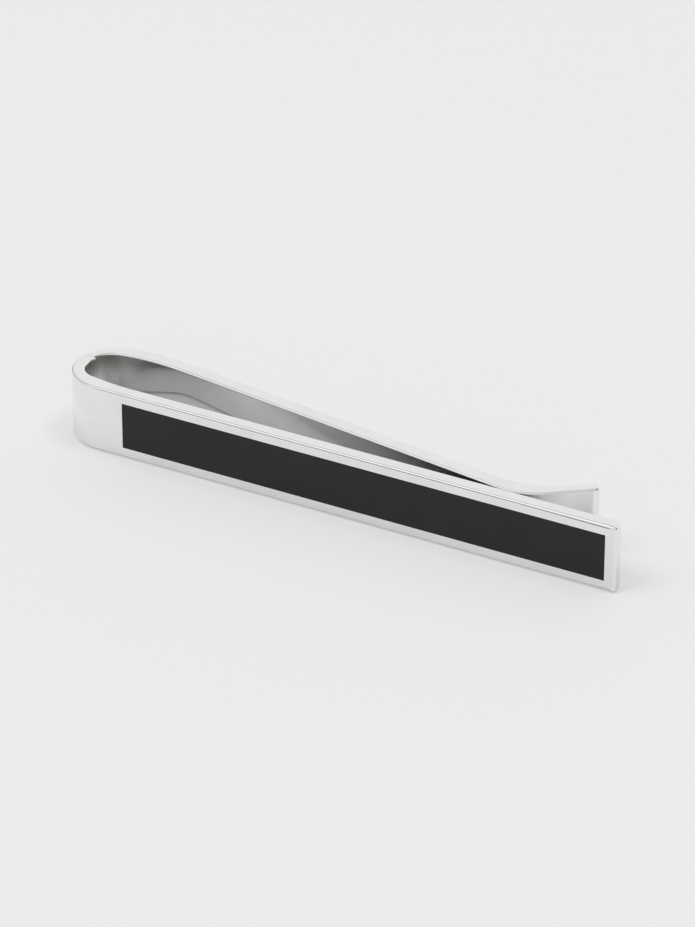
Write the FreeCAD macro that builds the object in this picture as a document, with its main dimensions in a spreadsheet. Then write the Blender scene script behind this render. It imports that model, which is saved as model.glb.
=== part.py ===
import FreeCAD, Part
import math
import os

import Sketcher
from FreeCAD import Vector

# Tie clip: a metal bar with a black slab let into its front, turned over at one end into a bend,
# and a spring leaf brazed to the end of that bend, which presses on the back of the bar.
#
# Frame, in millimetres: the clip stands on its long narrow edge, +Z up. The origin is the middle of the
# bar's standing face, half way along the clip and half way through the bar. +X runs to the bar's free end,
# -Y is the front of the bar and +Y is the side of the leaf.

# Driving sizes. Lengths are in millimetres, angles in degrees, and shares are plain ratios.
SIZES = {
    # The bar and its bend
    "bar_length": 55.0,
    "strip_height": 6.2,
    "bar_thickness": 1.4,
    "bend_radius": 4.0,
    "bend_wall": 1.25,
    "throat_radius": 25.0,
    "throat_share": 0.73,
    "throat_drop": 0.32,
    "edge_round": 0.18,
    "end_back_round": 0.6,
    "end_front_round": 0.25,
    # The black slab and its recess
    "inlay_start": 6.9,
    "inlay_border": 0.9,
    "inlay_end_border": 1.0,
    "recess_depth": 0.6,
    "inlay_fit": 0.02,
    "inlay_drop": 0.02,
    # The brazed joint at the end of the bend
    "seam_angle": 14.0,
    "seam_thickness": 0.06,
    "seam_inset": 0.02,
    # The spring leaf
    "root_thickness": 1.05,
    "root_share": 0.7,
    "shoulder_rise": 0.1,
    "shoulder_radius": 26.0,
    "inner_shoulder_radius": 20.0,
    "leaf_thickness": 1.5,
    "contact_from_end": 11.0,
    "contact_gap": 0.05,
    "contact_radius": 5.2,
    "contact_back_radius": 7.8,
    "tail_angle": 37.5,
    "tail_thickness": 1.15,
    "tail_length": 4.7,
    "tail_round": 0.5,
}

# How closely a measured coordinate has to match to count as lying on a plane or line
MATCH = 1e-6

doc = FreeCAD.newDocument("tie_clip")
sheet = doc.addObject("Spreadsheet::Sheet", "sizes")
for row, (alias, number) in enumerate(SIZES.items(), start=1):
    sheet.set(f"A{row}", alias)
    sheet.set(f"B{row}", str(number))
    sheet.setAlias(f"B{row}", alias)
doc.recompute()


def size(alias):
    """Reads one driving size from the sheet."""
    return float(sheet.get(alias))


# Expressions and values that several pieces share
THROAT_INNER = "sizes.throat_share * (sizes.bend_radius - sizes.bar_thickness)"
ROOT_INNER = "sizes.root_share * (sizes.bend_radius - sizes.root_thickness)"
BEND_CENTRE_LEFT = "sizes.bar_length / 2 - sizes.bend_radius"
BEND_CENTRE_BACK = "sizes.bend_radius - sizes.bar_thickness / 2"

length, height, bar = size("bar_length"), size("strip_height"), size("bar_thickness")
bend_radius = size("bend_radius")
bend_centre = Vector(bend_radius - length / 2, bend_radius - bar / 2)
seam_angle = math.radians(size("seam_angle"))
seam_outward = Vector(-math.cos(seam_angle), math.sin(seam_angle))
seam_onward = Vector(math.sin(seam_angle), math.cos(seam_angle))


def unit(vector):
    """A vector's direction, of length one."""
    return Vector(vector).normalize()


def circle_arc(centre, start, end):
    """An arc about a centre, counterclockwise from one point to another."""
    first, last = start - centre, end - centre
    circle = Part.Circle(centre, Vector(0, 0, 1), first.Length)
    return Part.ArcOfCircle(circle, math.atan2(first.y, first.x), math.atan2(last.y, last.x))


def new_body(name):
    """An empty body whose label names its node."""
    body = doc.addObject("PartDesign::Body", name)
    body.Label = name
    return body


def new_sketch(body, name, plane_role, offset=None):
    """A sketch on one of the body's own origin planes, moved along the plane's normal by an expression."""
    plane = next(item for item in body.Origin.OriginFeatures if item.Role == plane_role)
    sketch = body.newObject("Sketcher::SketchObject", name)
    sketch.AttachmentSupport = [(plane, "")]
    sketch.MapMode = "FlatFace"
    if offset:
        sketch.setExpression("AttachmentOffset.Base.z", offset)
    return sketch


def bind(sketch, name, expression, kind, *places):
    """Adds a named dimension to a sketch and ties its value to the sheet."""
    start_value = float(sheet.evalExpression(expression))
    if kind == "Angle":
        start_value = math.radians(start_value)
        expression = f"({expression}) * 1deg"
    index = sketch.addConstraint(Sketcher.Constraint(kind, *places, start_value))
    sketch.renameConstraint(index, name)
    sketch.setExpression(f"Constraints.{name}", expression)


def relate(sketch, kind, *pairs):
    """Adds the same geometric relation to several pairs of a sketch's elements."""
    for pair in pairs:
        sketch.addConstraint(Sketcher.Constraint(kind, *pair))


def pad(body, sketch, name, expression):
    """Pads a sketch by a length from the sheet."""
    feature = body.newObject("PartDesign::Pad", name)
    feature.Profile = sketch
    feature.setExpression("Length", expression)
    doc.recompute()
    return feature


def round_edges(body, base, name, radius, wanted):
    """Rounds the edges of a feature that a test picks out."""
    names = [f"Edge{i}" for i, edge in enumerate(base.Shape.Edges, start=1) if wanted(edge)]
    feature = body.newObject("PartDesign::Fillet", name)
    feature.Base = (base, names)
    feature.setExpression("Radius", radius)
    doc.recompute()
    return feature


def is_upright_at(edge, *points):
    """True for an upright edge that stands on one of the given plan points."""
    first, last = edge.Vertexes[0].Point, edge.Vertexes[-1].Point
    upright = abs(first.x - last.x) < MATCH and abs(first.y - last.y) < MATCH
    return upright and any(math.hypot(first.x - p.x, first.y - p.y) < MATCH for p in points)


def is_on_seam(edge, face_point):
    """True for an edge that lies in the seam's end face through a plan point."""
    return all(abs((vertex.Point - face_point).dot(seam_onward)) < MATCH for vertex in edge.Vertexes)


def is_rim(edge, face_point):
    """True for an edge round the lower or upper rim, other than those of the seam's end face."""
    box = edge.BoundBox
    level = box.ZLength < MATCH and (abs(box.ZMin) < MATCH or abs(box.ZMax - height) < MATCH)
    return level and not is_on_seam(edge, face_point)


def make_front_bar():
    """The bar with its turned-over end, and the recess in its front."""
    body = new_body("front_bar")

    # The plan outline: front, outer bend, seam, inner bend, throat, back and free end
    inner_radius = size("throat_share") * (bend_radius - bar)
    inner_centre = Vector(size("bend_wall") + inner_radius - length / 2, bend_centre.y - size("throat_drop"))
    throat_radius = size("throat_radius")
    throat_depth = bar / 2 + throat_radius
    throat_run = math.sqrt((throat_radius - inner_radius) ** 2 - (throat_depth - inner_centre.y) ** 2)
    throat_centre = Vector(inner_centre.x + throat_run, throat_depth)
    throat_start = throat_centre + unit(inner_centre - throat_centre) * throat_radius
    throat_end = Vector(throat_centre.x, bar / 2)
    front_end, back_end = Vector(length / 2, -bar / 2), Vector(length / 2, bar / 2)
    bend_start = Vector(bend_centre.x, -bar / 2)
    seam_outer = bend_centre + seam_outward * bend_radius
    across = inner_centre - bend_centre
    along = across.dot(seam_outward)
    reach = along + math.sqrt(along ** 2 + inner_radius ** 2 - across.Length ** 2)
    seam_inner = bend_centre + seam_outward * reach

    outline = new_sketch(body, "bar_outline", "XY_Plane")
    outline.addGeometry([
        Part.LineSegment(front_end, bend_start),
        circle_arc(bend_centre, seam_outer, bend_start),
        Part.LineSegment(seam_inner, seam_outer),
        circle_arc(inner_centre, seam_inner, throat_start),
        circle_arc(throat_centre, throat_start, throat_end),
        Part.LineSegment(throat_end, back_end),
        Part.LineSegment(back_end, front_end),
    ])
    front, bend, seam, inner, throat, back, end = range(7)
    relate(outline, "Tangent", (front, 2, bend, 2), (inner, 2, throat, 1), (throat, 2, back, 1))
    relate(outline, "Coincident", (bend, 1, seam, 2), (seam, 1, inner, 1), (back, 2, end, 1), (end, 2, front, 1))
    relate(outline, "Horizontal", (front,), (back,))
    relate(outline, "Vertical", (end,))
    relate(outline, "PointOnObject", (bend, 3, seam))
    bind(outline, "half_length", "sizes.bar_length / 2", "DistanceX", -1, 1, end, 1)
    bind(outline, "front_depth", "sizes.bar_thickness / 2", "DistanceY", front, 1, -1, 1)
    bind(outline, "back_depth", "sizes.bar_thickness / 2", "DistanceY", -1, 1, back, 2)
    bind(outline, "bend_size", "sizes.bend_radius", "Radius", bend)
    bind(outline, "bend_place", BEND_CENTRE_LEFT, "DistanceX", bend, 3, -1, 1)
    bind(outline, "inner_size", THROAT_INNER, "Radius", inner)
    bind(outline, "inner_place", f"sizes.bar_length / 2 - sizes.bend_wall - {THROAT_INNER}",
         "DistanceX", inner, 3, -1, 1)
    bind(outline, "inner_drop", "sizes.throat_drop", "DistanceY", inner, 3, bend, 3)
    bind(outline, "throat_size", "sizes.throat_radius", "Radius", throat)
    bind(outline, "seam_turn", "180 - sizes.seam_angle", "Angle", seam)
    strip = pad(body, outline, "bar_strip", "sizes.strip_height")

    rounded_back = round_edges(body, strip, "end_back_corner", "sizes.end_back_round",
                               lambda edge: is_upright_at(edge, back_end))
    rounded_end = round_edges(body, rounded_back, "end_front_corner", "sizes.end_front_round",
                              lambda edge: is_upright_at(edge, front_end))
    rounded = round_edges(body, rounded_end, "bar_rims", "sizes.edge_round",
                          lambda edge: is_rim(edge, seam_outer))

    # The recess, cut back into the bar from its front face
    window = new_sketch(body, "recess_outline", "XZ_Plane", "sizes.bar_thickness / 2")
    draw_window(window, "0")
    recess = body.newObject("PartDesign::Pocket", "recess")
    recess.Profile = window
    recess.setExpression("Length", "sizes.recess_depth")
    doc.recompute()
    if recess.Shape.Volume >= rounded.Shape.Volume:
        raise RuntimeError("the recess cuts nothing out of the bar")
    return body


def draw_window(sketch, inset):
    """Draws the inlay's rectangle, drawn in on every side by an expression."""
    margin = float(sheet.evalExpression(inset))
    low = Vector(size("inlay_start") + margin - length / 2, size("inlay_border") + margin)
    high = Vector(length / 2 - size("inlay_end_border") - margin, height - size("inlay_border") - margin)
    corners = [low, Vector(high.x, low.y), high, Vector(low.x, high.y)]
    sketch.addGeometry([Part.LineSegment(a, b) for a, b in zip(corners, corners[1:] + corners[:1])])
    bottom, right, top, left = range(4)
    relate(sketch, "Coincident", (bottom, 2, right, 1), (right, 2, top, 1), (top, 2, left, 1), (left, 2, bottom, 1))
    relate(sketch, "Horizontal", (bottom,), (top,))
    relate(sketch, "Vertical", (right,), (left,))
    bind(sketch, "start", f"sizes.bar_length / 2 - sizes.inlay_start - {inset}", "DistanceX", left, 1, -1, 1)
    bind(sketch, "finish", f"sizes.bar_length / 2 - sizes.inlay_end_border - {inset}",
         "DistanceX", -1, 1, right, 1)
    bind(sketch, "foot", f"sizes.inlay_border + {inset}", "DistanceY", -1, 1, bottom, 1)
    bind(sketch, "head", f"sizes.strip_height - sizes.inlay_border - {inset}", "DistanceY", -1, 1, top, 1)


def make_enamel_inlay():
    """The black slab, bedded on the recess's floor and a hair below the bar's front face."""
    body = new_body("enamel_inlay")
    outline = new_sketch(body, "inlay_outline", "XZ_Plane", "sizes.bar_thickness / 2 - sizes.recess_depth")
    draw_window(outline, "sizes.inlay_fit")
    pad(body, outline, "slab", "sizes.recess_depth - sizes.inlay_drop")
    return body


def make_braze_seam():
    """The film of filler between the end of the bend and the root of the leaf."""
    body = new_body("braze_seam")
    root, inset, film = size("root_thickness"), size("seam_inset"), size("seam_thickness")
    outer = bend_centre + seam_outward * (bend_radius - inset)
    inner = bend_centre + seam_outward * (bend_radius - root + inset)
    corners = [inner, outer, outer + seam_onward * film, inner + seam_onward * film]
    outline = new_sketch(body, "seam_outline", "XY_Plane")
    outline.addGeometry([Part.LineSegment(a, b) for a, b in zip(corners, corners[1:] + corners[:1])])
    bar_side, outside, leaf_side, inside = range(4)
    relate(outline, "Coincident", (bar_side, 2, outside, 1), (outside, 2, leaf_side, 1),
           (leaf_side, 2, inside, 1), (inside, 2, bar_side, 1))
    relate(outline, "Perpendicular", (bar_side, outside), (outside, leaf_side), (leaf_side, inside))
    bind(outline, "turn", "180 - sizes.seam_angle", "Angle", bar_side)
    bind(outline, "width", "sizes.root_thickness - 2 * sizes.seam_inset", "Distance", bar_side)
    bind(outline, "film", "sizes.seam_thickness", "Distance", outside)
    bind(outline, "outer_left",
         f"{BEND_CENTRE_LEFT} + (sizes.bend_radius - sizes.seam_inset) * cos(sizes.seam_angle * 1deg)",
         "DistanceX", bar_side, 2, -1, 1)
    bind(outline, "outer_back",
         f"{BEND_CENTRE_BACK} + (sizes.bend_radius - sizes.seam_inset) * sin(sizes.seam_angle * 1deg)",
         "DistanceY", -1, 1, bar_side, 2)
    film_pad = pad(body, outline, "film_strip", "sizes.strip_height")

    def is_corner(edge):
        """True for the short edges along the strip, where the film's rims meet its inner and outer faces."""
        run = edge.Vertexes[-1].Point - edge.Vertexes[0].Point
        return abs(abs(run.dot(seam_onward)) - run.Length) < MATCH and abs(run.z) < MATCH

    round_edges(body, film_pad, "seam_corners", "sizes.edge_round", is_corner)
    return body


def make_spring_leaf():
    """The leaf: root, shoulder, straight run, bulge that presses on the bar, and flared tail."""
    body = new_body("spring_leaf")

    # The root face and the bend's own curve, carried on past the seam
    film, root = size("seam_thickness"), size("root_thickness")
    root_outer = bend_centre + seam_onward * film + seam_outward * math.sqrt(bend_radius ** 2 - film ** 2)
    root_inner = root_outer - seam_outward * root
    root_radius = size("root_share") * (bend_radius - root)
    root_centre = root_inner - seam_outward * root_radius

    # The outer shoulder, whose crown stands just above the bend's own diameter
    shoulder_radius = size("shoulder_radius")
    crown = 2 * bend_radius + size("shoulder_rise") - bar / 2
    drop = bend_centre.y - crown + shoulder_radius
    shoulder_run = math.sqrt((shoulder_radius - bend_radius) ** 2 - drop ** 2)
    shoulder_centre = Vector(bend_centre.x + shoulder_run, crown - shoulder_radius)
    shoulder_start = shoulder_centre + unit(bend_centre - shoulder_centre) * shoulder_radius

    # The straight run, which leaves the shoulder and meets the bulge as a tangent to both
    leaf, contact_radius = size("leaf_thickness"), size("contact_radius")
    contact_centre = Vector(length / 2 - size("contact_from_end"), bar / 2 + size("contact_gap") + contact_radius)
    span = contact_centre - shoulder_centre
    slope = math.asin((shoulder_radius + contact_radius - leaf) / span.Length) - math.atan2(span.y, span.x)
    backward = Vector(math.sin(slope), math.cos(slope))
    onward = Vector(math.cos(slope), -math.sin(slope))
    outer_start = shoulder_centre + backward * shoulder_radius
    inner_end = contact_centre - backward * contact_radius

    # The tail, which leaves the bulge at its own angle
    tail_angle, tail = math.radians(size("tail_angle")), size("tail_thickness")
    tail_run = Vector(math.cos(tail_angle), math.sin(tail_angle))
    tail_back = Vector(-math.sin(tail_angle), math.cos(tail_angle))
    tail_inner = contact_centre - tail_back * contact_radius
    tip_inner = tail_inner + tail_run * size("tail_length")
    tip_outer = tip_inner + tail_back * tail

    # The back of the bulge, tangent to the backs of the run and of the tail
    gap = tail_inner + tail_back * tail - outer_start
    knee = outer_start + onward * (gap.dot(tail_back) / onward.dot(tail_back))
    trim = size("contact_back_radius") * math.tan((slope + tail_angle) / 2)
    outer_end, tail_outer = knee - onward * trim, knee + tail_run * trim
    back_centre = outer_end + backward * size("contact_back_radius")

    # The inner shoulder, tangent to the root's inner curve and to the run's inner face
    inner_radius = size("inner_shoulder_radius")
    offset = inner_end.dot(backward) - inner_radius - root_centre.dot(backward)
    advance = math.sqrt((inner_radius - root_radius) ** 2 - offset ** 2)
    inner_centre = root_centre + backward * offset + onward * advance
    inner_start = inner_centre + backward * inner_radius
    inner_turn = inner_centre + unit(root_centre - inner_centre) * inner_radius

    outline = new_sketch(body, "leaf_outline", "XY_Plane")
    outline.addGeometry([
        Part.LineSegment(root_inner, root_outer),
        circle_arc(bend_centre, shoulder_start, root_outer),
        circle_arc(shoulder_centre, outer_start, shoulder_start),
        Part.LineSegment(outer_start, outer_end),
        circle_arc(back_centre, outer_end, tail_outer),
        Part.LineSegment(tail_outer, tip_outer),
        Part.LineSegment(tip_outer, tip_inner),
        Part.LineSegment(tip_inner, tail_inner),
        circle_arc(contact_centre, inner_end, tail_inner),
        Part.LineSegment(inner_end, inner_start),
        circle_arc(inner_centre, inner_start, inner_turn),
        circle_arc(root_centre, inner_turn, root_inner),
    ])
    (root_face, bend, shoulder, back, back_bulge, tail_top, tip,
     tail_under, bulge, front, inner_shoulder, root_curve) = range(12)
    relate(outline, "Coincident", (root_face, 2, bend, 2), (tail_top, 2, tip, 1), (tip, 2, tail_under, 1),
           (root_curve, 2, root_face, 1))
    relate(outline, "Tangent", (bend, 1, shoulder, 2), (shoulder, 1, back, 1), (back, 2, back_bulge, 1),
           (back_bulge, 2, tail_top, 1), (tail_under, 2, bulge, 2), (bulge, 1, front, 1),
           (front, 2, inner_shoulder, 1), (inner_shoulder, 2, root_curve, 1))
    relate(outline, "Parallel", (back, front), (tail_top, tail_under))
    relate(outline, "Perpendicular", (tip, tail_under))
    relate(outline, "PointOnObject", (root_curve, 3, root_face))
    bind(outline, "bend_size", "sizes.bend_radius", "Radius", bend)
    bind(outline, "bend_left", BEND_CENTRE_LEFT, "DistanceX", bend, 3, -1, 1)
    bind(outline, "bend_back", BEND_CENTRE_BACK, "DistanceY", -1, 1, bend, 3)
    bind(outline, "root_turn", "180 - sizes.seam_angle", "Angle", root_face)
    bind(outline, "root_offset", "sizes.seam_thickness", "Distance", bend, 3, root_face)
    bind(outline, "root_width", "sizes.root_thickness", "Distance", root_face)
    bind(outline, "root_size", ROOT_INNER, "Radius", root_curve)
    bind(outline, "shoulder_size", "sizes.shoulder_radius", "Radius", shoulder)
    bind(outline, "shoulder_drop",
         "sizes.shoulder_radius + sizes.bar_thickness / 2 - 2 * sizes.bend_radius - sizes.shoulder_rise",
         "DistanceY", shoulder, 3, -1, 1)
    bind(outline, "inner_shoulder_size", "sizes.inner_shoulder_radius", "Radius", inner_shoulder)
    bind(outline, "leaf_width", "sizes.leaf_thickness", "Distance", back, 1, front)
    bind(outline, "contact_place", "sizes.bar_length / 2 - sizes.contact_from_end", "DistanceX", -1, 1, bulge, 3)
    bind(outline, "contact_back", "sizes.bar_thickness / 2 + sizes.contact_gap + sizes.contact_radius",
         "DistanceY", -1, 1, bulge, 3)
    bind(outline, "contact_size", "sizes.contact_radius", "Radius", bulge)
    bind(outline, "contact_back_size", "sizes.contact_back_radius", "Radius", back_bulge)
    bind(outline, "tail_turn", "sizes.tail_angle", "Angle", tail_top)
    bind(outline, "tail_width", "sizes.tail_thickness", "Distance", tail_top, 1, tail_under)
    bind(outline, "tail_run", "sizes.tail_length", "Distance", tail_under)
    strip = pad(body, outline, "leaf_strip", "sizes.strip_height")

    rounded_tip = round_edges(body, strip, "tip_corners", "sizes.tail_round",
                              lambda edge: is_upright_at(edge, tip_inner, tip_outer))
    round_edges(body, rounded_tip, "leaf_rims", "sizes.edge_round", lambda edge: is_rim(edge, root_outer))

    print(f"leaf slope {math.degrees(slope):.3f} degrees")
    print(f"flexing edge at x {root_outer.x:.4f} y {root_outer.y:.4f}")
    return body


bodies = [make_front_bar(), make_enamel_inlay(), make_braze_seam(), make_spring_leaf()]
doc.recompute()

# Every object has to be sound before anything is written
for item in doc.Objects:
    if "Invalid" in item.State or "Error" in item.State:
        raise RuntimeError(f"{item.Name} failed: {item.State}")
for body in bodies:
    if body.Shape.isNull() or not body.Shape.isValid():
        raise RuntimeError(f"{body.Label} has no sound shape")

os.makedirs("parts", exist_ok=True)
for body in bodies:
    body.Shape.exportStep(f"parts/{body.Label}.step")
    box = body.Shape.BoundBox
    print(f"{body.Label}: {len(body.Shape.Solids)} solid, {body.Shape.Volume:.3f} mm3, "
          f"x {box.XMin:.3f} to {box.XMax:.3f}, y {box.YMin:.3f} to {box.YMax:.3f}, "
          f"z {box.ZMin:.3f} to {box.ZMax:.3f}")
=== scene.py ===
import logging
import math
from collections.abc import Mapping, Sequence
from dataclasses import dataclass
from enum import Enum
from typing import Any

import bmesh
import bpy
import numpy as np
from mathutils import Matrix, Vector


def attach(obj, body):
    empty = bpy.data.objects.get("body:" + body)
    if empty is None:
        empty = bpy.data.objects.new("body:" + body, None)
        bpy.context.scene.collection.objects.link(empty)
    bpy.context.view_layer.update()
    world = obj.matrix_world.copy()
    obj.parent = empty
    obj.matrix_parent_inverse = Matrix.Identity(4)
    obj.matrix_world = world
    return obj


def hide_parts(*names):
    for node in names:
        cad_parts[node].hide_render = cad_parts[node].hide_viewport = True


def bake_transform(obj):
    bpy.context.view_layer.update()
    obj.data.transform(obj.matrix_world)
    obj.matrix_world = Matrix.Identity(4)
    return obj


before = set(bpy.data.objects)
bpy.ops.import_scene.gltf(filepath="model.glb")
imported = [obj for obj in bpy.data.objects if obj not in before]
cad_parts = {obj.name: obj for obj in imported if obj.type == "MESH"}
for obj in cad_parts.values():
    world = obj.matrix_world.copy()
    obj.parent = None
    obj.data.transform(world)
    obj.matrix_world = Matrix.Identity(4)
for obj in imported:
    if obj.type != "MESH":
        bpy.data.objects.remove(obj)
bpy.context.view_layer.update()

LOG = logging.getLogger("tie_clip")
Colour = tuple[float, float, float]
Point = tuple[float, float, float]

# Sizes are written in millimetres, as a maker's drawing has them, and meshes are in metres.
MM = 0.001
QUARTER_TURN = math.pi / 2
FULL_TURN = 2 * math.pi
WHITE = (1.0, 1.0, 1.0)
OPAQUE = 1.0
PHOTO_LONG_SIDE = 927

# Points closer than this, in metres, become one, and facets that meet at a wider angle keep a crease.
WELD_DISTANCE = 1e-7
SHARP_ANGLE = math.radians(35.0)

# Stations that agree to this many decimals are one, and the slack keeps a whole count of steps whole.
STATION_DECIMALS = 9
COUNT_SLACK = 1e-7

# The mesh attribute that says how much painted shade, and roughness with it, the metal at a point has, from
# 0 to 1.
PAINTED_SHADE_MARK = "painted_shade_and_roughness"


class Side(Enum):
    """The two long walls of a strip, named for a walk from its root to its free end."""

    RIGHT = 0
    LEFT = 1

    @property
    def outward(self) -> float:
        """The sign that turns the left-hand normal of a wall's line out of the strip."""
        return 1.0 if self is Side.LEFT else -1.0


class Body(Enum):
    """The two bodies that the clip's one spring joins."""

    BAR = "bar"
    LEAF = "leaf"


@dataclass(frozen=True)
class Run:
    """One stretch of a plan line with a steady curve: its length in millimetres and its turn in radians."""

    length: float
    turn: float = 0.0


def arc(radius: float, turn: float) -> Run:
    """A stretch that turns by an angle, leftwards if positive, on a circle of that radius."""
    return Run(radius * abs(turn), turn)


@dataclass(frozen=True)
class PlanLine:
    """A smooth line in plan, made of straight and round stretches that follow on from each other.

    A point at distance d into a stretch of curvature k lies on the chord of length
    d * sin(b / 2) / (b / 2), with b = k * d, that leaves the stretch's start at its heading plus b / 2.
    """

    start: tuple[float, float]
    heading: float
    runs: tuple[Run, ...]

    @property
    def lengths(self) -> np.ndarray:
        """The length of each stretch."""
        return np.array([run.length for run in self.runs])

    @property
    def turns(self) -> np.ndarray:
        """The turn of each stretch."""
        return np.array([run.turn for run in self.runs])

    @property
    def breaks(self) -> np.ndarray:
        """The distances along the line at which its stretches begin and end."""
        return np.concatenate(([0.0], np.cumsum(self.lengths)))

    @staticmethod
    def chord(distance: np.ndarray, heading: np.ndarray, bend: np.ndarray) -> np.ndarray:
        """The step from the start of a stretch to a point on it.

        Args:
            distance: How far along the stretch the point is.
            heading: The heading at the start of the stretch.
            bend: How far the line has turned by the point.

        Returns:
            One plan vector for each distance.
        """
        reach = distance * np.sinc(bend / FULL_TURN)
        middle = heading + bend / 2
        return np.stack((reach * np.cos(middle), reach * np.sin(middle)), axis=-1)

    def headings(self) -> np.ndarray:
        """The headings at the starts of the stretches and at the line's end."""
        return self.heading + np.concatenate(([0.0], np.cumsum(self.turns)))

    def turned(self, distance: np.ndarray) -> np.ndarray:
        """The total turn, of either sign, made by each distance."""
        totals = np.concatenate(([0.0], np.cumsum(np.abs(self.turns))))
        return np.interp(distance, self.breaks, totals)

    def at(self, distance: np.ndarray, side: Side) -> tuple[np.ndarray, np.ndarray]:
        """Points on the line and the outward normals of the wall that stands on it.

        Args:
            distance: Distances along the line.
            side: Which wall of the strip the line is.

        Returns:
            The points and the unit normals, each an array of plan vectors.
        """
        breaks, headings = self.breaks, self.headings()
        steps = self.chord(self.lengths, headings[:-1], self.turns)
        corners = np.array(self.start) + np.concatenate((np.zeros((1, 2)), np.cumsum(steps, axis=0)))
        index = np.clip(np.searchsorted(breaks, distance, side="right") - 1, 0, len(self.runs) - 1)
        along = distance - breaks[index]
        bend = along * self.turns[index] / self.lengths[index]
        points = corners[index] + self.chord(along, headings[index], bend)
        heading = headings[index] + bend
        return points, side.outward * np.stack((-np.sin(heading), np.cos(heading)), axis=-1)


@dataclass(frozen=True)
class Course:
    """How a value runs along one wall of a strip: what it is at some distances, even in between."""

    side: Side
    distances: tuple[float, ...]
    values: tuple[float, ...]

    def at(self, distance: np.ndarray) -> np.ndarray:
        """The value at each distance."""
        return np.interp(distance, self.distances, self.values)


@dataclass(frozen=True)
class Section:
    """The points of a strip's section, in order round its loop.

    Each point belongs to one wall. It lies inside that wall by its inset and above its level by its lift,
    both in radii of the rim, and goes in by its share of the recess.
    """

    side: np.ndarray
    inset: np.ndarray
    lift: np.ndarray
    level: np.ndarray
    recess: np.ndarray


@dataclass(frozen=True)
class Window:
    """A rectangular recess in a strip's right wall, in distances along that wall and heights up it."""

    start: float
    finish: float
    foot: float
    head: float
    depth: float

    def rows(self) -> np.ndarray:
        """The rows of points that the recess needs on its wall, from its lower brink to its upper one.

        Returns:
            The insets, lifts, levels and shares of the recess, with one column for each row of points.
        """
        levels = (self.foot, self.foot, self.head, self.head)
        shares = (0.0, 1.0, 1.0, 0.0)
        return np.stack((np.zeros(len(levels)), np.zeros(len(levels)), levels, shares))


@dataclass(frozen=True)
class Axes:
    """The frame in which a shape is drawn: an origin and the directions of its plan and of its height."""

    origin: Point = (0.0, 0.0, 0.0)
    across: Point = (1.0, 0.0, 0.0)
    up: Point = (0.0, 1.0, 0.0)
    out: Point = (0.0, 0.0, 1.0)

    def place(self, points: np.ndarray) -> np.ndarray:
        """Carries drawn points into the object's frame, in metres."""
        return (np.array(self.origin) + points @ np.array((self.across, self.up, self.out))) * MM


@dataclass(frozen=True)
class Fineness:
    """How finely a strip is cut up: the facets of a rim, and the most turn and length between stations."""

    rim_steps: int
    turn: float
    length: float


STRIP_FINENESS = Fineness(rim_steps=8, turn=math.radians(3.0), length=0.8)
SLAB_FINENESS = Fineness(rim_steps=4, turn=math.radians(15.0), length=4.0)


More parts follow.
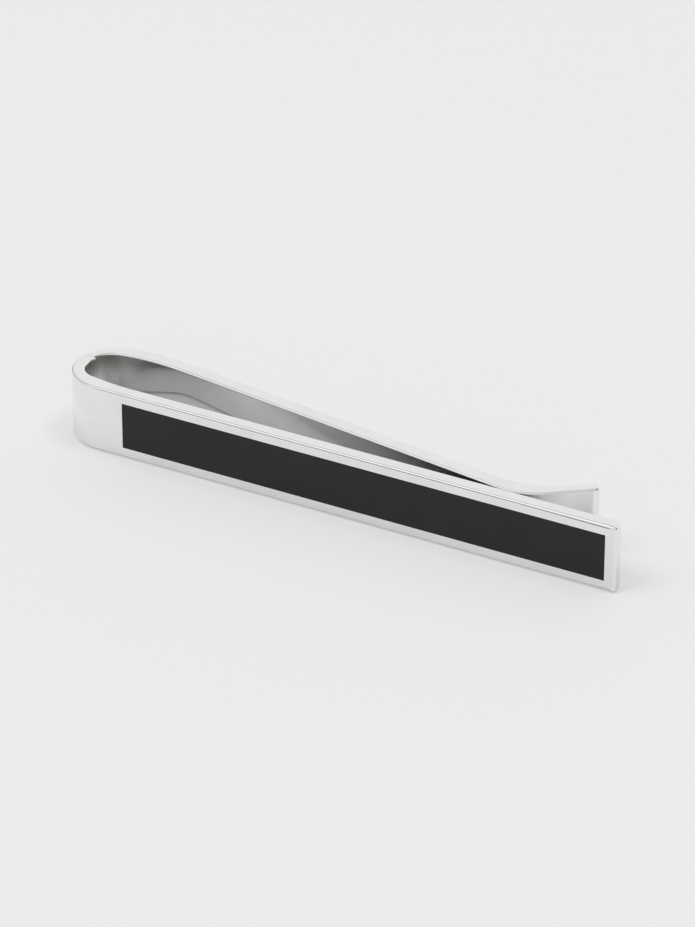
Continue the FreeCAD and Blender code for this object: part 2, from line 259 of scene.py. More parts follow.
@dataclass(frozen=True)
class Strip:
    """A solid strip that stands on a plan between two lines, with rounded rims.

    The surface is a section carried along the plan. At each station the section is a loop: up the right
    wall, over its rim on a quarter circle, across the top, over the left rim, down the left wall and back
    underneath. A rim's point at angle a lies inside the wall by r * (1 - cos a) and below the top by
    r * (1 - sin a), or above the foot by as much. The matched pairs are distances along the two walls that
    stand opposite each other. A shade says how much painted shade, and roughness with it, one wall has,
    and a rounding gives the rims of one wall radii of their own.
    """

    right: PlanLine
    left: PlanLine
    matched: tuple[tuple[float, float], ...]
    low: float
    high: float
    rim: float
    capped: bool = True
    window: Window | None = None
    shade: Course | None = None
    rounding: Course | None = None
    fineness: Fineness = STRIP_FINENESS

    def stations(self) -> tuple[np.ndarray, np.ndarray]:
        """Where the sections stand, closer together where either wall turns.

        Returns:
            The stations, as places between the matched pairs, and the share of the recess at each.
        """
        lines, pairs = (self.right, self.left), np.array(self.matched).T
        places = np.arange(len(self.matched), dtype=float)
        edges = [np.interp(line.breaks, ends, places) for line, ends in zip(lines, pairs)]
        brinks = (self.window.start, self.window.finish) if self.window else ()
        cuts = np.interp(brinks, pairs[Side.RIGHT.value], places)
        bounds = np.unique(np.round(np.concatenate((places, *edges, cuts)), STATION_DECIMALS))
        spans = []
        for line, distance in zip(lines, self.distances(bounds)):
            spans.append(np.diff(line.turned(distance)) / self.fineness.turn)
            spans.append(np.diff(distance) / self.fineness.length)
        counts = np.maximum(np.ceil(np.max(spans, axis=0) - COUNT_SLACK), 1).astype(int)
        steps = zip(bounds, bounds[1:], counts)
        parts = [np.linspace(*span, count, endpoint=False) for *span, count in steps]
        stations = np.concatenate((*parts, bounds[-1:]))
        sunk = np.zeros(len(stations))
        if self.window:
            first, last = (np.argmin(np.abs(stations - cut)) for cut in cuts)
            sunk[first:last + 1] = 1.0
            stations = np.insert(stations, [first, last + 1], [stations[first], stations[last]])
            sunk = np.insert(sunk, [first, last + 1], 0.0)
        return stations, sunk

    def distances(self, stations: np.ndarray) -> np.ndarray:
        """The distances along the two walls at which the stations stand, with one row for each wall."""
        places = np.arange(len(self.matched))
        return np.stack([np.interp(stations, places, ends) for ends in np.array(self.matched).T])

    def section(self) -> Section:
        """Works out one section. A recess's brinks are rows of both walls, which thus meet at a closed end.

        Returns:
            The section's points.
        """
        angle = np.linspace(0.0, QUARTER_TURN, self.fineness.rim_steps + 1)
        inset, drop, none = 1 - np.cos(angle), 1 - np.sin(angle), np.zeros(len(angle))
        upper = np.stack((inset, -drop, none + self.high, none))
        lower = np.stack((inset, drop, none + self.low, none))
        window = self.window.rows() if self.window else np.zeros((len(upper), 0))
        brinks = window[:, window[-1] == 0.0]
        up_right = np.concatenate((lower[:, :1], window, upper), axis=1)
        down_left = np.concatenate((upper[:, ::-1], brinks[:, ::-1], lower), axis=1)
        under_right = lower[:, :0:-1]
        parts = (up_right, down_left, under_right)
        walls = (Side.RIGHT.value, Side.LEFT.value, Side.RIGHT.value)
        side = np.repeat(walls, [part.shape[1] for part in parts])
        return Section(side, *np.concatenate(parts, axis=1))

    def surface(self) -> np.ndarray:
        """Carries the section along the plan.

        Returns:
            The strip's points, one row for each station and one column for each point of the section.
        """
        stations, sunk = self.stations()
        loop, distances = self.section(), self.distances(stations)
        lines = (self.right, self.left)
        walls = [line.at(distance, side) for line, distance, side in zip(lines, distances, Side)]
        feet, normals = (np.stack(pair, axis=1)[:, loop.side] for pair in zip(*walls))
        radius = np.full((len(stations), len(lines)), self.rim)
        if self.rounding:
            wall = self.rounding.side.value
            radius[:, wall] = self.rounding.at(distances[wall])
        radius = radius[:, loop.side]
        sink = np.outer(sunk, loop.recess) * (self.window.depth if self.window else 0.0)
        plan = feet - normals * (loop.inset * radius + sink)[..., None]
        height = loop.level + loop.lift * radius
        return np.concatenate((plan, height[..., None]), axis=-1)

    def painted_shade(self) -> np.ndarray:
        """Works out how much painted shade each point has: none, except on a shaded wall between its rims.

        Returns:
            Amounts from 0 to 1, in the order of the surface's points.
        """
        stations, _ = self.stations()
        loop = self.section()
        if self.shade is None:
            return np.zeros((len(stations), len(loop.side)))
        wall = self.shade.side.value
        amount = self.shade.at(self.distances(stations)[wall])
        return np.outer(amount, (loop.side == wall) & (loop.inset == 0.0))

    def build(self, name: str, axes: Axes) -> bpy.types.Object:
        """Makes the strip's mesh object.

        Args:
            name: The piece's name.
            axes: The frame in which the strip is drawn.

        Returns:
            The new object, with its place in its mesh.
        """
        grid = self.surface()
        rows, columns = grid.shape[:2]
        index = np.arange(rows * columns).reshape(rows, columns)
        onward = np.roll(index, -1, axis=1)
        quads = np.stack((index[:-1], index[1:], onward[1:], onward[:-1]), axis=-1).reshape(-1, 4)
        faces = quads.tolist() + ([index[0].tolist()] if self.capped else [])
        return make_object(name, axes.place(grid.reshape(-1, 3)), faces, self.painted_shade().reshape(-1))


def slab(low: tuple[float, float], high: tuple[float, float], depths: tuple[float, float], corner: float,
         rim: float) -> Strip:
    """A flat slab with a round-cornered outline, as a strip that closes to a line at both its ends.

    Each long wall starts in the middle of one end, turns a quarter circle at each corner and meets the
    other wall again in the middle of the far end.

    Args:
        low: The outline's lowest corner.
        high: The outline's highest corner.
        depths: The slab's back and front.
        corner: The radius of the outline's corners.
        rim: The radius of the rounding along its edges.

    Returns:
        The slab.
    """
    start = (low[0], (low[1] + high[1]) / 2)
    end, length = Run((high[1] - low[1]) / 2 - corner), Run(high[0] - low[0] - 2 * corner)
    rounds = [arc(corner, turn) for turn in (QUARTER_TURN, -QUARTER_TURN)]
    right, left = (PlanLine(start, -bend.turn, (end, bend, length, bend, end)) for bend in rounds)
    whole = right.breaks[-1]
    matched = ((0.0, 0.0), (whole, whole))
    return Strip(right, left, matched, *depths, rim, capped=False, fineness=SLAB_FINENESS)


def make_object(name: str, points: np.ndarray, faces: Sequence[Sequence[int]],
                painted_shade: np.ndarray) -> bpy.types.Object:
    """Makes a smooth-shaded mesh object from points and faces, with coinciding points welded.

    Args:
        name: The object's name.
        points: Its points in metres, in the object's frame.
        faces: The point numbers of each face.
        painted_shade: How much painted shade, and roughness with it, each point has, from 0 to 1.

    Returns:
        The new object, linked to the scene.
    """
    mesh = bpy.data.meshes.new(name)
    mesh.from_pydata(points, [], faces)
    # Stores the painted shade at each point; the metal finish also makes the metal rougher there.
    mesh.attributes.new(PAINTED_SHADE_MARK, "FLOAT", "POINT").data.foreach_set("value", painted_shade)
    work = bmesh.new()
    work.from_mesh(mesh)
    bmesh.ops.remove_doubles(work, verts=work.verts, dist=WELD_DISTANCE)
    bmesh.ops.dissolve_degenerate(work, edges=work.edges, dist=WELD_DISTANCE)
    work.to_mesh(mesh)
    work.free()
    mesh.polygons.foreach_set("use_smooth", np.ones(len(mesh.polygons), dtype=bool))
    mesh.set_sharp_from_angle(angle=SHARP_ANGLE)
    made = bpy.data.objects.new(name, mesh)
    bpy.context.scene.collection.objects.link(made)
    shading = made.modifiers.new("even_shading", "WEIGHTED_NORMAL")
    shading.keep_sharp = True
    return made


class Signal:
    """A number that varies over a surface: one output socket, on which arithmetic adds Math nodes."""

    def __init__(self, graph: "Graph", socket: bpy.types.NodeSocket) -> None:
        """Wraps a socket of a graph."""
        self.graph = graph
        self.socket = socket

    def math(self, operation: str, first: "Signal | float", second: "Signal | float") -> "Signal":
        """Adds a Math node on two values."""
        return self.graph.node("ShaderNodeMath", {"operation": operation}, {0: first, 1: second})

    def __add__(self, other: "Signal | float") -> "Signal":
        """This plus another value."""
        return self.math("ADD", self, other)

    def __sub__(self, other: "Signal | float") -> "Signal":
        """This less another value."""
        return self.math("SUBTRACT", self, other)

    def __rsub__(self, other: float) -> "Signal":
        """A number less this."""
        return self.math("SUBTRACT", other, self)

    def __mul__(self, other: "Signal | float") -> "Signal":
        """This times another value."""
        return self.math("MULTIPLY", self, other)

    def size(self) -> "Signal":
        """This without its sign."""
        return self.graph.node("ShaderNodeMath", {"operation": "ABSOLUTE"}, {0: self})

    def ease(self, low: float, high: float) -> "Signal":
        """Rises smoothly from 0 at one value to 1 at another."""
        return self.graph.node("ShaderNodeMapRange", {"interpolation_type": "SMOOTHSTEP"},
                               {"Value": self, "From Min": low, "From Max": high})


@dataclass(frozen=True)
class Grain:
    """A cloudy noise: how fine its clouds are, how many finer layers they have and how strong those are."""

    scale: float
    layers: float
    strength: float


class Graph:
    """The nodes of one material or of the world."""

    def __init__(self, owner: bpy.types.Material | bpy.types.World) -> None:
        """Starts an empty graph.

        Args:
            owner: The material or the world that the graph belongs to.
        """
        owner.use_nodes = True
        self.tree = owner.node_tree
        self.tree.nodes.clear()

    def node(self, kind: str, settings: Mapping[str, Any] | None = None,
             inputs: Mapping[str | int, Any] | None = None, output: str | int = 0) -> Signal:
        """Adds a node, sets it up and fills or links its sockets.

        Args:
            kind: The node's type.
            settings: Its properties, set before its sockets.
            inputs: The value, or the signal, that each socket takes.
            output: The socket that comes back.

        Returns:
            The chosen output.
        """
        made = self.tree.nodes.new(kind)
        for name, value in (settings or {}).items():
            setattr(made, name, value)
        for key, value in (inputs or {}).items():
            if isinstance(value, Signal):
                self.tree.links.new(value.socket, made.inputs[key])
            else:
                made.inputs[key].default_value = value
        return Signal(self, made.outputs[output])

    def close(self, kind: str, surface: Signal) -> None:
        """Links a surface to the graph's output node."""
        self.tree.links.new(surface.socket, self.tree.nodes.new(kind).inputs["Surface"])

    def place(self) -> Signal:
        """The Object coordinates, in metres."""
        return self.node("ShaderNodeTexCoord", output="Object")

    def stretched(self, scale: Point) -> Signal:
        """The Object coordinates times a scale for each axis."""
        return self.node("ShaderNodeMapping", inputs={"Vector": self.place(), "Scale": scale})

    def mark(self, name: str) -> Signal:
        """A number that the mesh carries at its points."""
        return self.node("ShaderNodeAttribute", {"attribute_name": name}, output="Fac")

    def noise(self, where: Signal, grain: Grain) -> Signal:
        """Cloudy noise about one half, over some coordinates."""
        return self.node("ShaderNodeTexNoise", inputs={
            "Vector": where, "Scale": grain.scale, "Detail": grain.layers, "Roughness": grain.strength})

    def blend_colours(self, share: Signal, first: Signal | Colour, second: Signal | Colour) -> Signal:
        """Blends two colours.

        Args:
            share: How much of the second colour there is, from 0 to 1.
            first: The first colour.
            second: The second colour.

        Returns:
            The colour between them.
        """
        ends = [end if isinstance(end, Signal) else (*end, OPAQUE) for end in (first, second)]
        sockets = {"Factor": share, "A": ends[0], "B": ends[1]}
        return self.node("ShaderNodeMix", {"data_type": "RGBA"}, sockets, output="Result")

    def bumps(self, height: Signal, depth: float) -> Signal:
        """A bent normal from a height of 0 to 1, for relief of a depth in millimetres."""
        sockets = {"Height": height, "Strength": 1.0, "Distance": depth * MM}
        return self.node("ShaderNodeBump", inputs=sockets)


@dataclass(frozen=True)
class MetalFinish:
    """Polished metal with faint cloudiness, hairlines along the strip and a hand-polished waviness.

    Where the mesh marks painted shade, the metal is painted darker and is rougher. The painted shade is in
    full from full_shade_half above and below the middle of the strip's height, and falls to the share
    least_shade at faint_shade_half.
    """

    name: str
    bright: Colour = (0.9, 0.894, 0.893)
    dull: Colour = (0.86, 0.854, 0.853)
    # The colour of the painted shade.
    inside: Colour = (0.28, 0.272, 0.245)
    smooth: float = 0.03
    rough: float = 0.07
    inside_rough: float = 0.3
    # The painted shade is darker towards the top and bottom rims, as these heights in millimetres say.
    mid_height: float = 3.1
    faint_shade_half: float = 0.3
    full_shade_half: float = 2.9
    least_shade: float = 0.3
    hairline: float = 0.00006
    wave: float = 0.0006
    clouds: Grain = Grain(420.0, 4.0, 0.6)
    lines: Grain = Grain(1.0, 2.0, 0.7)
    line_stretch: Point = (220.0, 9000.0, 9000.0)
    waves: Grain = Grain(260.0, 1.0, 0.4)
    cloud_share: float = 0.7
    wear_range: tuple[float, float] = (0.35, 0.65)

    def make(self) -> bpy.types.Material:
        """Builds the material.

        Returns:
            The finished material.
        """
        material = bpy.data.materials.new(self.name)
        graph = Graph(material)
        clouds = graph.noise(graph.place(), self.clouds)
        lines = graph.noise(graph.stretched(self.line_stretch), self.lines)
        waves = graph.noise(graph.place(), self.waves)
        wear = (clouds * self.cloud_share + lines * (1.0 - self.cloud_share)).ease(*self.wear_range)
        depth = self.wave + self.hairline
        relief = waves * (self.wave / depth) + lines * (self.hairline / depth)
        height = graph.node("ShaderNodeSeparateXYZ", inputs={0: graph.place()}, output="Z")
        # Painted shade: where the mesh marks it, the metal is painted darker, more so towards the rims.
        from_middle = (height - self.mid_height * MM).size()
        edge = from_middle.ease(self.faint_shade_half * MM, self.full_shade_half * MM)
        inside = graph.mark(PAINTED_SHADE_MARK) * (edge * (1.0 - self.least_shade) + self.least_shade)
        polished = graph.blend_colours(wear, self.bright, self.dull)
        shader = graph.node("ShaderNodeBsdfPrincipled", inputs={
            "Base Color": graph.blend_colours(inside, polished, self.inside),
            "Metallic": 1.0,
            "Roughness": wear * (self.rough - self.smooth) + self.smooth + inside * self.inside_rough,
            "Normal": graph.bumps(relief, depth),
        })
        graph.close("ShaderNodeOutputMaterial", shader)
        return material


@dataclass(frozen=True)
class EnamelFinish:
    """Glossy black enamel, ground flat, with a faint ripple and slightly duller clouds."""

    name: str
    deep: Colour = (0.0035, 0.0035, 0.0038)
    pale: Colour = (0.006, 0.006, 0.0062)
    smooth: float = 0.1
    rough: float = 0.2
    gloss: float = 0.36
    ripple: float = 0.0003
    clouds: Grain = Grain(300.0, 3.0, 0.55)
    cloud_range: tuple[float, float] = (0.3, 0.7)
    ripples: Grain = Grain(700.0, 2.0, 0.5)

    def make(self) -> bpy.types.Material:
        """Builds the material.

        Returns:
            The finished material.
        """
        material = bpy.data.materials.new(self.name)
        graph = Graph(material)
        clouds = graph.noise(graph.place(), self.clouds).ease(*self.cloud_range)
        ripples = graph.noise(graph.place(), self.ripples)
        shader = graph.node("ShaderNodeBsdfPrincipled", inputs={
            "Base Color": graph.blend_colours(clouds, self.deep, self.pale),
            "Roughness": clouds * (self.rough - self.smooth) + self.smooth,
            "Specular IOR Level": self.gloss,
            "Normal": graph.bumps(ripples, self.ripple),
        })
        graph.close("ShaderNodeOutputMaterial", shader)
        return material


BAR_METAL = MetalFinish("polished_bar_metal")
SPRING_METAL = MetalFinish("polished_spring_metal")
FILLER_METAL = MetalFinish("filler_metal", bright=(0.84, 0.83, 0.815), dull=(0.79, 0.78, 0.765),
                           smooth=0.18, rough=0.3)
BLACK_ENAMEL = EnamelFinish("black_enamel")


@dataclass(frozen=True)
class Part:
    """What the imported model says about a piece: the node that it stands for and the slot of its finish."""

    node: str
    slot: str

    def claim(self, piece: bpy.types.Object, material: bpy.types.Material) -> None:
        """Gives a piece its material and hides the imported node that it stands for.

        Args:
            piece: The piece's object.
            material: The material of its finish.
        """
        piece.data.materials.append(material)
        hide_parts(self.node)


@dataclass(frozen=True)
class BendSizes:
    """The sizes that the pieces share: the strip's height, the bend and the seam at the leaf's root."""

    length: float = 55.0
    height: float = 6.2
    bar_thickness: float = 1.4
    bend_radius: float = 4.0
    seam_angle: float = math.radians(14.0)
    root: float = 1.05
    film: float = 0.06
    rim: float = 0.18

    @property
    def centre(self) -> np.ndarray:
        """The middle of the bend, in plan."""
        return np.array([self.bend_radius - self.length / 2, self.bend_radius - self.bar_thickness / 2])

    @property
    def seam_out(self) -> np.ndarray:
        """The direction from the middle of the bend out through the brazed seam."""
        return np.array([-math.cos(self.seam_angle), math.sin(self.seam_angle)])

    @property
    def seam_on(self) -> np.ndarray:
        """The direction across the seam, from the bar to the leaf."""
        return np.array([math.sin(self.seam_angle), math.cos(self.seam_angle)])


def angle_of(vector: np.ndarray) -> float:
    """The angle of a plan vector, from 0 to a full turn."""
    return math.atan2(vector[1], vector[0]) % FULL_TURN


@dataclass(frozen=True)
class FrontBar:
    """The bar with its turned-over end and the recess in its front.

    Painted shade darkens the metal inside the bend, in full as far as painted_shade from the seam and
    with a fade over shade_fade after that. The narrow part of the slot has painted shade in part:
    slot_shade has the places, from the middle of the bar, where it begins, is at slot_amount and ends.
    The front wall's rims grow from the seam to front_rim, and over the last end_rim_fade before the
    corner to end_rim, at end_rim_peak before it.
    """

    shared: BendSizes
    bend_wall: float = 1.25
    throat_radius: float = 25.0
    throat_share: float = 0.73
    throat_drop: float = 0.32
    end_back_round: float = 0.6
    end_front_round: float = 0.25
    inlay_start: float = 6.9
    inlay_border: float = 0.9
    inlay_end_border: float = 1.0
    recess_depth: float = 0.6
    # Where painted shade darkens the back wall.
    painted_shade: float = 0.8
    shade_fade: float = 2.4
    slot_shade: tuple[float, float, float] = (-6.0, 12.0, 18.0)
    slot_amount: float = 0.7
    front_rim: float = 0.24
    front_rim_from: float = 22.0
    end_rim: float = 0.36
    end_rim_fade: float = 8.0
    end_rim_peak: float = 0.4
    part: Part = Part("front_bar", "polished_metal")

    @property
    def half_end(self) -> Run:
        """Half of the flat between the two rounds of the free end."""
        return Run((self.shared.bar_thickness - self.end_back_round - self.end_front_round) / 2)

    def front_line(self) -> PlanLine:
        """Draws the outer wall: round the bend from the seam, along the front and into the free end.

        Returns:
            The wall's line.
        """
        s = self.shared
        start = s.centre + s.seam_out * s.bend_radius
        return PlanLine(tuple(start), angle_of(s.seam_out) + QUARTER_TURN, (
            arc(s.bend_radius, QUARTER_TURN + s.seam_angle),
            Run(s.length - s.bend_radius - self.end_front_round),
            arc(self.end_front_round, QUARTER_TURN),
            self.half_end))

    def back_line(self) -> PlanLine:
        """Draws the inner wall: round inside the bend, through the long throat curve and along the back.

        Returns:
            The wall's line.
        """
        s = self.shared
        radius = self.throat_share * (s.bend_radius - s.bar_thickness)
        centre = np.array([self.bend_wall + radius - s.length / 2, s.centre[1] - self.throat_drop])
        depth = s.bar_thickness / 2 + self.throat_radius
        sweep = math.sqrt((self.throat_radius - radius) ** 2 - (depth - centre[1]) ** 2)
        throat = np.array([centre[0] + sweep, depth])
        along = float((centre - s.centre) @ s.seam_out)
        gap = float(np.sum((centre - s.centre) ** 2))
        start = s.centre + s.seam_out * (along + math.sqrt(along ** 2 + radius ** 2 - gap))
        first, last = angle_of(start - centre), angle_of(centre - throat)
        return PlanLine(tuple(start), first + QUARTER_TURN, (
            arc(radius, last - first),
            arc(self.throat_radius, 3 * QUARTER_TURN - last),
            Run(s.length / 2 - self.end_back_round - throat[0]),
            arc(self.end_back_round, -QUARTER_TURN),
            self.half_end))

    def rounding(self, corner: float, end: float) -> Course:
        """Works out how round the front wall's rims are: at both its ends, as round as all others.

        Args:
            corner: The distance along the front wall at which the free end's round begins.
            end: The length of the front wall.

        Returns:
            The radii along the front wall.
        """
        fade, peak = corner - self.end_rim_fade, corner - self.end_rim_peak
        distances = (0.0, self.front_rim_from, fade, peak, corner, end)
        common, front = self.shared.rim, self.front_rim
        return Course(Side.RIGHT, distances, (common, front, front, self.end_rim, front, common))

    def build(self) -> bpy.types.Object:
        """Makes the bar's mesh.

        Returns:
            The bar.
        """
        s = self.shared
        front, back = self.front_line(), self.back_line()
        _, bend_end, front_corner, _, front_end = front.breaks
        _, loop_end, throat_end, back_corner, _, back_end = back.breaks
        corner_x = s.length / 2 - self.end_back_round
        throat_x = corner_x - (back_corner - throat_end)
        front_middle, back_middle = bend_end - s.centre[0], throat_end - throat_x
        matched = ((0.0, 0.0), (bend_end, loop_end), (front_middle + throat_x, throat_end),
                   (front_middle + corner_x, back_corner), (front_end, back_end))
        window = Window(front_middle + self.inlay_start - s.length / 2,
                        front_middle + s.length / 2 - self.inlay_end_border,
                        self.inlay_border, s.height - self.inlay_border, self.recess_depth)
        # Painted shade inside the bend and, in part, in the narrow part of the slot.
        slot = tuple(back_middle + np.array(self.slot_shade))
        shade = Course(Side.LEFT, (self.painted_shade, self.painted_shade + self.shade_fade, *slot),
                       (1.0, 0.0, 0.0, self.slot_amount, 0.0))
        strip = Strip(front, back, matched, 0.0, s.height, s.rim, window=window, shade=shade,
                      rounding=self.rounding(front_corner, front_end))
        return strip.build("bar_and_bend", Axes())

    def dress(self, piece: bpy.types.Object, material: bpy.types.Material) -> None:
        """Finishes the bar and lets it ride on its body."""
        self.part.claim(piece, material)
        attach(piece, Body.BAR.value)


@dataclass(frozen=True)
class EnamelInlay:
    """The black slab in the bar's recess, a hair below the front face."""

    bar: FrontBar
    fit: float = 0.02
    drop: float = 0.02
    corner: float = 0.05
    rim: float = 0.02
    part: Part = Part("enamel_inlay", "black_enamel")

    def build(self) -> bpy.types.Object:
        """Makes the slab's mesh, drawn on the upright plane of the bar's front.

        Returns:
            The slab.
        """
        s, bar = self.bar.shared, self.bar
        low = (bar.inlay_start + self.fit - s.length / 2, bar.inlay_border + self.fit)
        high = (s.length / 2 - bar.inlay_end_border - self.fit, s.height - bar.inlay_border - self.fit)
        depths = (s.bar_thickness / 2 - bar.recess_depth, s.bar_thickness / 2 - self.drop)
        shape = slab(low, high, depths, self.corner, self.rim)
        return shape.build("inlay_slab", Axes(up=(0.0, 0.0, 1.0), out=(0.0, -1.0, 0.0)))

    def dress(self, piece: bpy.types.Object, material: bpy.types.Material) -> None:
        """Finishes the slab and lets it ride with the bar."""
        self.part.claim(piece, material)
        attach(piece, Body.BAR.value)


@dataclass(frozen=True)
class BrazeSeam:
    """The film of filler metal between the end of the bend and the root of the leaf."""

    shared: BendSizes
    inset: float = 0.02
    rim: float = 0.01
    part: Part = Part("braze_seam", "braze_filler")

    def build(self) -> bpy.types.Object:
        """Makes the film's mesh, drawn on the plane of the seam.

        Returns:
            The film.
        """
        s = self.shared
        low, high = (s.bend_radius - s.root + self.inset, 0.0), (s.bend_radius - self.inset, s.height)
        axes = Axes((*s.centre, 0.0), (*s.seam_out, 0.0), (0.0, 0.0, 1.0), (*s.seam_on, 0.0))
        return slab(low, high, (0.0, s.film), s.rim, self.rim).build("seam_film", axes)

    def dress(self, piece: bpy.types.Object, material: bpy.types.Material) -> None:
        """Finishes the film and lets it ride with the bar."""
        self.part.claim(piece, material)
        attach(piece, Body.BAR.value)


@dataclass(frozen=True)
class SpringLeaf:
    """The leaf: root, shoulder, straight run, the bulge that presses on the bar, and the flared tail.

    Painted shade darkens the inner wall by the root, in full as far as painted_shade along it and with a
    fade over shade_fade after that, to the small share wall_amount. slot_shade has the places, from the
    start of the bulge, where the painted shade begins to grow, is first and last at slot_amount, and ends.
    """

    shared: BendSizes
    root_share: float = 0.7
    shoulder_rise: float = 0.1
    shoulder_radius: float = 26.0
    inner_shoulder_radius: float = 20.0
    thickness: float = 1.5
    contact_from_end: float = 11.0
    contact_gap: float = 0.05
    contact_radius: float = 5.2
    contact_back_radius: float = 7.8
    tail_angle: float = math.radians(37.5)
    tail: float = 1.15
    tail_length: float = 4.7
    tail_round: float = 0.5
    flexing_length: float = 14.0
    # Where painted shade darkens the inner wall.
    painted_shade: float = 1.6
    shade_fade: float = 4.4
    slot_shade: tuple[float, float, float, float] = (-25.0, -4.5, 2.0, 6.0)
    slot_amount: float = 0.7
    wall_amount: float = 0.1
    part: Part = Part("spring_leaf", "spring_metal")

    def root_outer(self) -> np.ndarray:
        """The outer edge of the leaf's root face, on the bend's own circle."""
        s = self.shared
        return s.centre + s.seam_on * s.film + s.seam_out * math.sqrt(s.bend_radius ** 2 - s.film ** 2)

    def contact(self) -> np.ndarray:
        """The middle of the bulge's circle."""
        depth = self.shared.bar_thickness / 2 + self.contact_gap + self.contact_radius
        return np.array([self.shared.length / 2 - self.contact_from_end, depth])

    def shoulder(self) -> np.ndarray:
        """Finds the circle of the outer shoulder, which runs on from the bend.

        Returns:
            The circle's middle.
        """
        s = self.shared
        depth = 2 * s.bend_radius + self.shoulder_rise - s.bar_thickness / 2 - self.shoulder_radius
        run = math.sqrt((self.shoulder_radius - s.bend_radius) ** 2 - (s.centre[1] - depth) ** 2)
        return np.array([s.centre[0] + run, depth])

    def slope(self) -> float:
        """Works out how the straight run falls: its faces touch the shoulder's and the bulge's circles.

        Returns:
            The angle between the run and the bar.
        """
        span = self.contact() - self.shoulder()
        reach = self.shoulder_radius + self.contact_radius - self.thickness
        return math.asin(reach / np.linalg.norm(span)) - math.atan2(span[1], span[0])

    def run_axes(self) -> tuple[np.ndarray, np.ndarray]:
        """The directions along the straight run and out of its back."""
        sine, cosine = math.sin(self.slope()), math.cos(self.slope())
        return np.array([cosine, -sine]), np.array([sine, cosine])

    def outer_line(self) -> PlanLine:
        """Draws the outer wall, from the root over the shoulder and along the back to the tip's middle.

        Returns:
            The wall's line.
        """
        s, slope = self.shared, self.slope()
        along, across = self.run_axes()
        start, shoulder = self.root_outer(), self.shoulder()
        root_angle, shoulder_angle = angle_of(start - s.centre), angle_of(s.centre - shoulder)
        leave = shoulder + across * self.shoulder_radius
        tail_on = np.array([math.cos(self.tail_angle), math.sin(self.tail_angle)])
        tail_back = np.array([-tail_on[1], tail_on[0]])
        tail_outer = self.contact() + tail_back * (self.tail - self.contact_radius)
        knee = leave + along * float((tail_outer - leave) @ tail_back / (along @ tail_back))
        trim = self.contact_back_radius * math.tan((slope + self.tail_angle) / 2)
        past_knee = self.tail_length + float((tail_outer - knee) @ tail_on)
        return PlanLine(tuple(start), root_angle - QUARTER_TURN, (
            arc(s.bend_radius, shoulder_angle - root_angle),
            arc(self.shoulder_radius, QUARTER_TURN - slope - shoulder_angle),
            Run(float((knee - leave) @ along) - trim),
            arc(self.contact_back_radius, slope + self.tail_angle),
            Run(past_knee - trim - self.tail_round),
            arc(self.tail_round, -QUARTER_TURN),
            Run(self.tail / 2 - self.tail_round)))

    def inner_line(self) -> PlanLine:
        """Draws the inner wall, from the root inside the shoulder and along the front to the tip's middle.

        Returns:
            The wall's line.
        """
        s, slope = self.shared, self.slope()
        along, across = self.run_axes()
        start = self.root_outer() - s.seam_out * s.root
        radius = self.root_share * (s.bend_radius - s.root)
        centre = start - s.seam_out * radius
        meet = self.contact() - across * self.contact_radius
        lift = float((meet - centre) @ across) - self.inner_shoulder_radius
        advance = math.sqrt((self.inner_shoulder_radius - radius) ** 2 - lift ** 2)
        shoulder = centre + across * lift + along * advance
        leave = shoulder + across * self.inner_shoulder_radius
        root_angle, shoulder_angle = angle_of(start - centre), angle_of(centre - shoulder)
        return PlanLine(tuple(start), root_angle - QUARTER_TURN, (
            arc(radius, shoulder_angle - root_angle),
            arc(self.inner_shoulder_radius, QUARTER_TURN - slope - shoulder_angle),
            Run(float((meet - leave) @ along)),
            arc(self.contact_radius, slope + self.tail_angle),
            Run(self.tail_length - self.tail_round),
            arc(self.tail_round, QUARTER_TURN),
            Run(self.tail / 2 - self.tail_round)))

    def build(self) -> bpy.types.Object:
        """Makes the leaf's mesh, with the two walls matched stretch by stretch.

        Returns:
            The leaf.
        """
        inner, outer = self.inner_line(), self.outer_line()
        matched = tuple(zip(inner.breaks, outer.breaks))
        bulge_start = inner.breaks[3]
        # Painted shade by the root, faintly along the inner wall, and in the narrow part of the slot.
        slot = tuple(bulge_start + np.array(self.slot_shade))
        wall, most = self.wall_amount, self.slot_amount
        shade = Course(Side.RIGHT, (self.painted_shade, self.painted_shade + self.shade_fade, *slot),
                       (1.0, wall, wall, most, most, 0.0))
        strip = Strip(inner, outer, matched, 0.0, self.shared.height, self.shared.rim, shade=shade)
        return strip.build("leaf_spring_strip", Axes())

    def dress(self, piece: bpy.types.Object, material: bpy.types.Material) -> None:
        """Finishes the leaf and bakes its place into its mesh.

        Args:
            piece: The leaf's object.
            material: The material of its finish.
        """
        self.part.claim(piece, material)
        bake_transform(piece)


@dataclass(frozen=True)
class View:
    """The camera of the photograph: where it looks, from which side and from how far, in millimetres.

    The focal length and the drift, by which the picture is shifted right and down, are in pixels.
    """

    target: Point = (0.0, 3.0, 3.0)
    azimuth: float = math.radians(29.021)
    elevation: float = math.radians(29.383)
    distance: float = 412.15
    focal_pixels: float = 4771.5
    drift: tuple[float, float] = (0.83, 1.08)
    sensor: float = 36.0

    def build(self) -> bpy.types.Object:
        """Makes the camera and puts it in charge of the scene.

        Returns:
            The camera.
        """
        sine, cosine = math.sin(self.azimuth), math.cos(self.azimuth)
        level = math.cos(self.elevation)
        right = Vector((cosine, sine, 0.0))
        back = Vector((sine * level, -cosine * level, math.sin(self.elevation)))
        up = back.cross(right)
        pixel = self.distance / self.focal_pixels
        place = Vector(self.target) + back * self.distance
        place += up * self.drift[1] * pixel - right * self.drift[0] * pixel
        data = bpy.data.cameras.new("photo_view")
        data.sensor_width = self.sensor
        data.lens = self.focal_pixels * self.sensor / PHOTO_LONG_SIDE
        camera = bpy.data.objects.new("photo_view", data)
        turn = Matrix((right, up, back)).transposed().to_4x4()
        camera.matrix_world = Matrix.Translation(place * MM) @ turn
        bpy.context.scene.collection.objects.link(camera)
        bpy.context.scene.camera = camera
        return camera


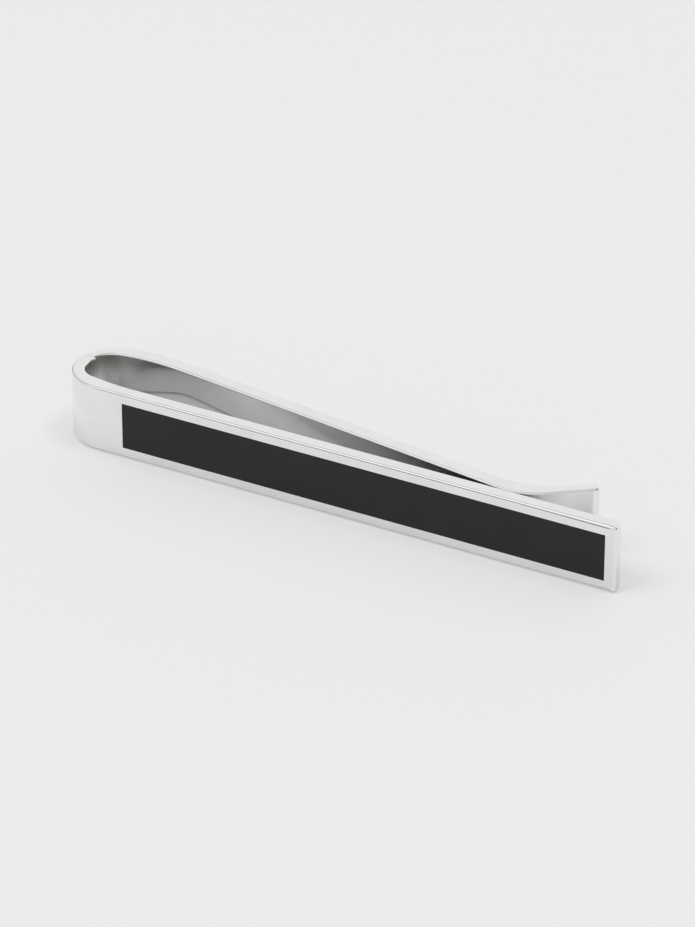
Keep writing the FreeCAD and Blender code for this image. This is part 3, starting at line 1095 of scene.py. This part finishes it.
@dataclass(frozen=True)
class Glow:
    """A round patch of the light tent: its direction and its level.

    Its even part reaches as far as inner from its middle, and its soft edge as far as outer, in degrees.
    """

    toward: Point
    inner: float
    outer: float
    level: float

    def over(self, graph: Graph, direction: Signal, level: Signal | float) -> Signal:
        """Lays the patch over the light that is there.

        Args:
            graph: The world's graph.
            direction: The direction of the light.
            level: The brightness so far.

        Returns:
            The brightness with the patch.
        """
        axis = tuple(Vector(self.toward).normalized())
        nearness = graph.node("ShaderNodeVectorMath", {"operation": "DOT_PRODUCT"}, {0: direction, 1: axis},
                              output="Value")
        share = nearness.ease(math.cos(math.radians(self.outer)), math.cos(math.radians(self.inner)))
        return share * (self.level - level) + level


@dataclass(frozen=True)
class Lamp:
    """A round lamp that polished metal doesn't mirror: its direction, its size and its power in watts."""

    name: str
    toward: Point
    radius: float
    power: float
    distance: float = 3000.0

    def build(self) -> bpy.types.Object:
        """Makes the lamp, aimed at the clip.

        Returns:
            The lamp.
        """
        data = bpy.data.lights.new(self.name, "AREA")
        data.shape = "DISK"
        data.size = 2 * self.radius * MM
        data.energy = self.power
        lamp = bpy.data.objects.new(self.name, data)
        toward = Vector(self.toward).normalized()
        lamp.location = toward * self.distance * MM
        lamp.rotation_euler = toward.to_track_quat("Z", "Y").to_euler()
        lamp.visible_glossy = False
        bpy.context.scene.collection.objects.link(lamp)
        return lamp


@dataclass(frozen=True)
class Studio:
    """A pale floor in a dim room, and the lights round it.

    A bright backdrop, a panel on the left, a broad light in front and one overhead fill the polished metal.
    A dim gap and a softbox draw the lines along the bar's upper edge, and two lamps cast soft shadows. The
    floor lies a little below the clip, which leaves a thin dark line under it, and shines by itself as far
    as seen_lift to the camera and mirrored_lift in the metal.
    """

    floor_colour: Colour = (0.84, 0.833, 0.837)
    floor_half: float = 1500.0
    floor_drop: float = 0.14
    seen_lift: float = 0.4
    mirrored_lift: float = 0.1
    walls: float = 0.2
    backdrop: Glow = Glow((0.0, 0.95, 0.2), 37.0, 51.0, 0.88)
    left_panel: Glow = Glow((-0.92, 0.05, 0.35), 24.0, 36.0, 0.75)
    front_light: Glow = Glow((-0.15, -0.85, 0.5), 30.0, 90.0, 0.78)
    overhead: Glow = Glow((0.05, 0.1, 0.99), 20.0, 40.0, 0.65)
    dim_gap: Glow = Glow((-0.3, -0.88, 0.38), 10.0, 20.0, 0.3)
    softbox: Glow = Glow((-0.42, -0.1, 0.9), 13.0, 20.0, 1.15)
    side_lamp: Lamp = Lamp("side_lamp", (0.36, 0.1, 0.93), 500.0, 15.0)
    front_lamp: Lamp = Lamp("front_lamp", (-0.33, -0.44, 0.84), 700.0, 20.0)

    def build_floor(self) -> bpy.types.Object:
        """Makes the floor: a level square, whose points are the four pairs of its sides' places.

        Returns:
            The floor.
        """
        sides = np.array((-self.floor_half, self.floor_half))
        x, y = np.meshgrid(sides, sides)
        points = np.stack((x, y, np.full_like(x, -self.floor_drop)), axis=-1).reshape(-1, 3) * MM
        near_left, near_right, far_left, far_right = range(len(points))
        square = (near_left, near_right, far_right, far_left)
        floor = make_object("floor", points, [square], np.zeros(len(points)))
        material = bpy.data.materials.new("pale_floor")
        graph = Graph(material)
        shaded = graph.node("ShaderNodeBsdfDiffuse", inputs={"Color": (*self.floor_colour, OPAQUE)})
        even = graph.node("ShaderNodeEmission", inputs={"Color": (*self.floor_colour, OPAQUE)})
        seen, glossy, through = (graph.node("ShaderNodeLightPath", output=f"Is {kind} Ray")
                                 for kind in ("Camera", "Glossy", "Transmission"))
        lift = seen * self.seen_lift + (glossy + through) * self.mirrored_lift
        shader = graph.node("ShaderNodeMixShader", inputs={0: lift, 1: shaded, 2: even})
        graph.close("ShaderNodeOutputMaterial", shader)
        floor.data.materials.append(material)
        return floor

    def build_world(self) -> None:
        """Lights the scene from all round: even walls, with brighter and dimmer patches laid over them."""
        world = bpy.data.worlds.new("light_tent")
        bpy.context.scene.world = world
        graph = Graph(world)
        direction = graph.node("ShaderNodeTexCoord", output="Generated")
        level: Signal | float = self.walls
        panels = (self.backdrop, self.left_panel, self.front_light, self.overhead)
        for patch in (*panels, self.dim_gap, self.softbox):
            level = patch.over(graph, direction, level)
        light = graph.node("ShaderNodeBackground", inputs={"Color": (*WHITE, OPAQUE), "Strength": level})
        graph.close("ShaderNodeOutputWorld", light)

    def build(self) -> None:
        """Makes the floor, the lights and the plain view settings."""
        self.build_floor()
        self.build_world()
        for lamp in (self.side_lamp, self.front_lamp):
            lamp.build()
        bpy.context.scene.view_settings.view_transform = "Standard"


def main() -> None:
    """Builds and dresses the clip's pieces in order, then the studio and the camera."""
    logging.basicConfig(level=logging.INFO, format="%(name)s: %(message)s")
    shared = BendSizes()
    bar = FrontBar(shared)
    pieces = (
        (bar, BAR_METAL),
        (EnamelInlay(bar), BLACK_ENAMEL),
        (BrazeSeam(shared), FILLER_METAL),
        (SpringLeaf(shared), SPRING_METAL),
    )
    for maker, finish in pieces:
        piece = maker.build()
        maker.dress(piece, finish.make())
        LOG.info("%s: %d faces, finish %s", piece.name, len(piece.data.polygons), finish.name)
    Studio().build()
    View().build()


if __name__ == "__main__":
    main()
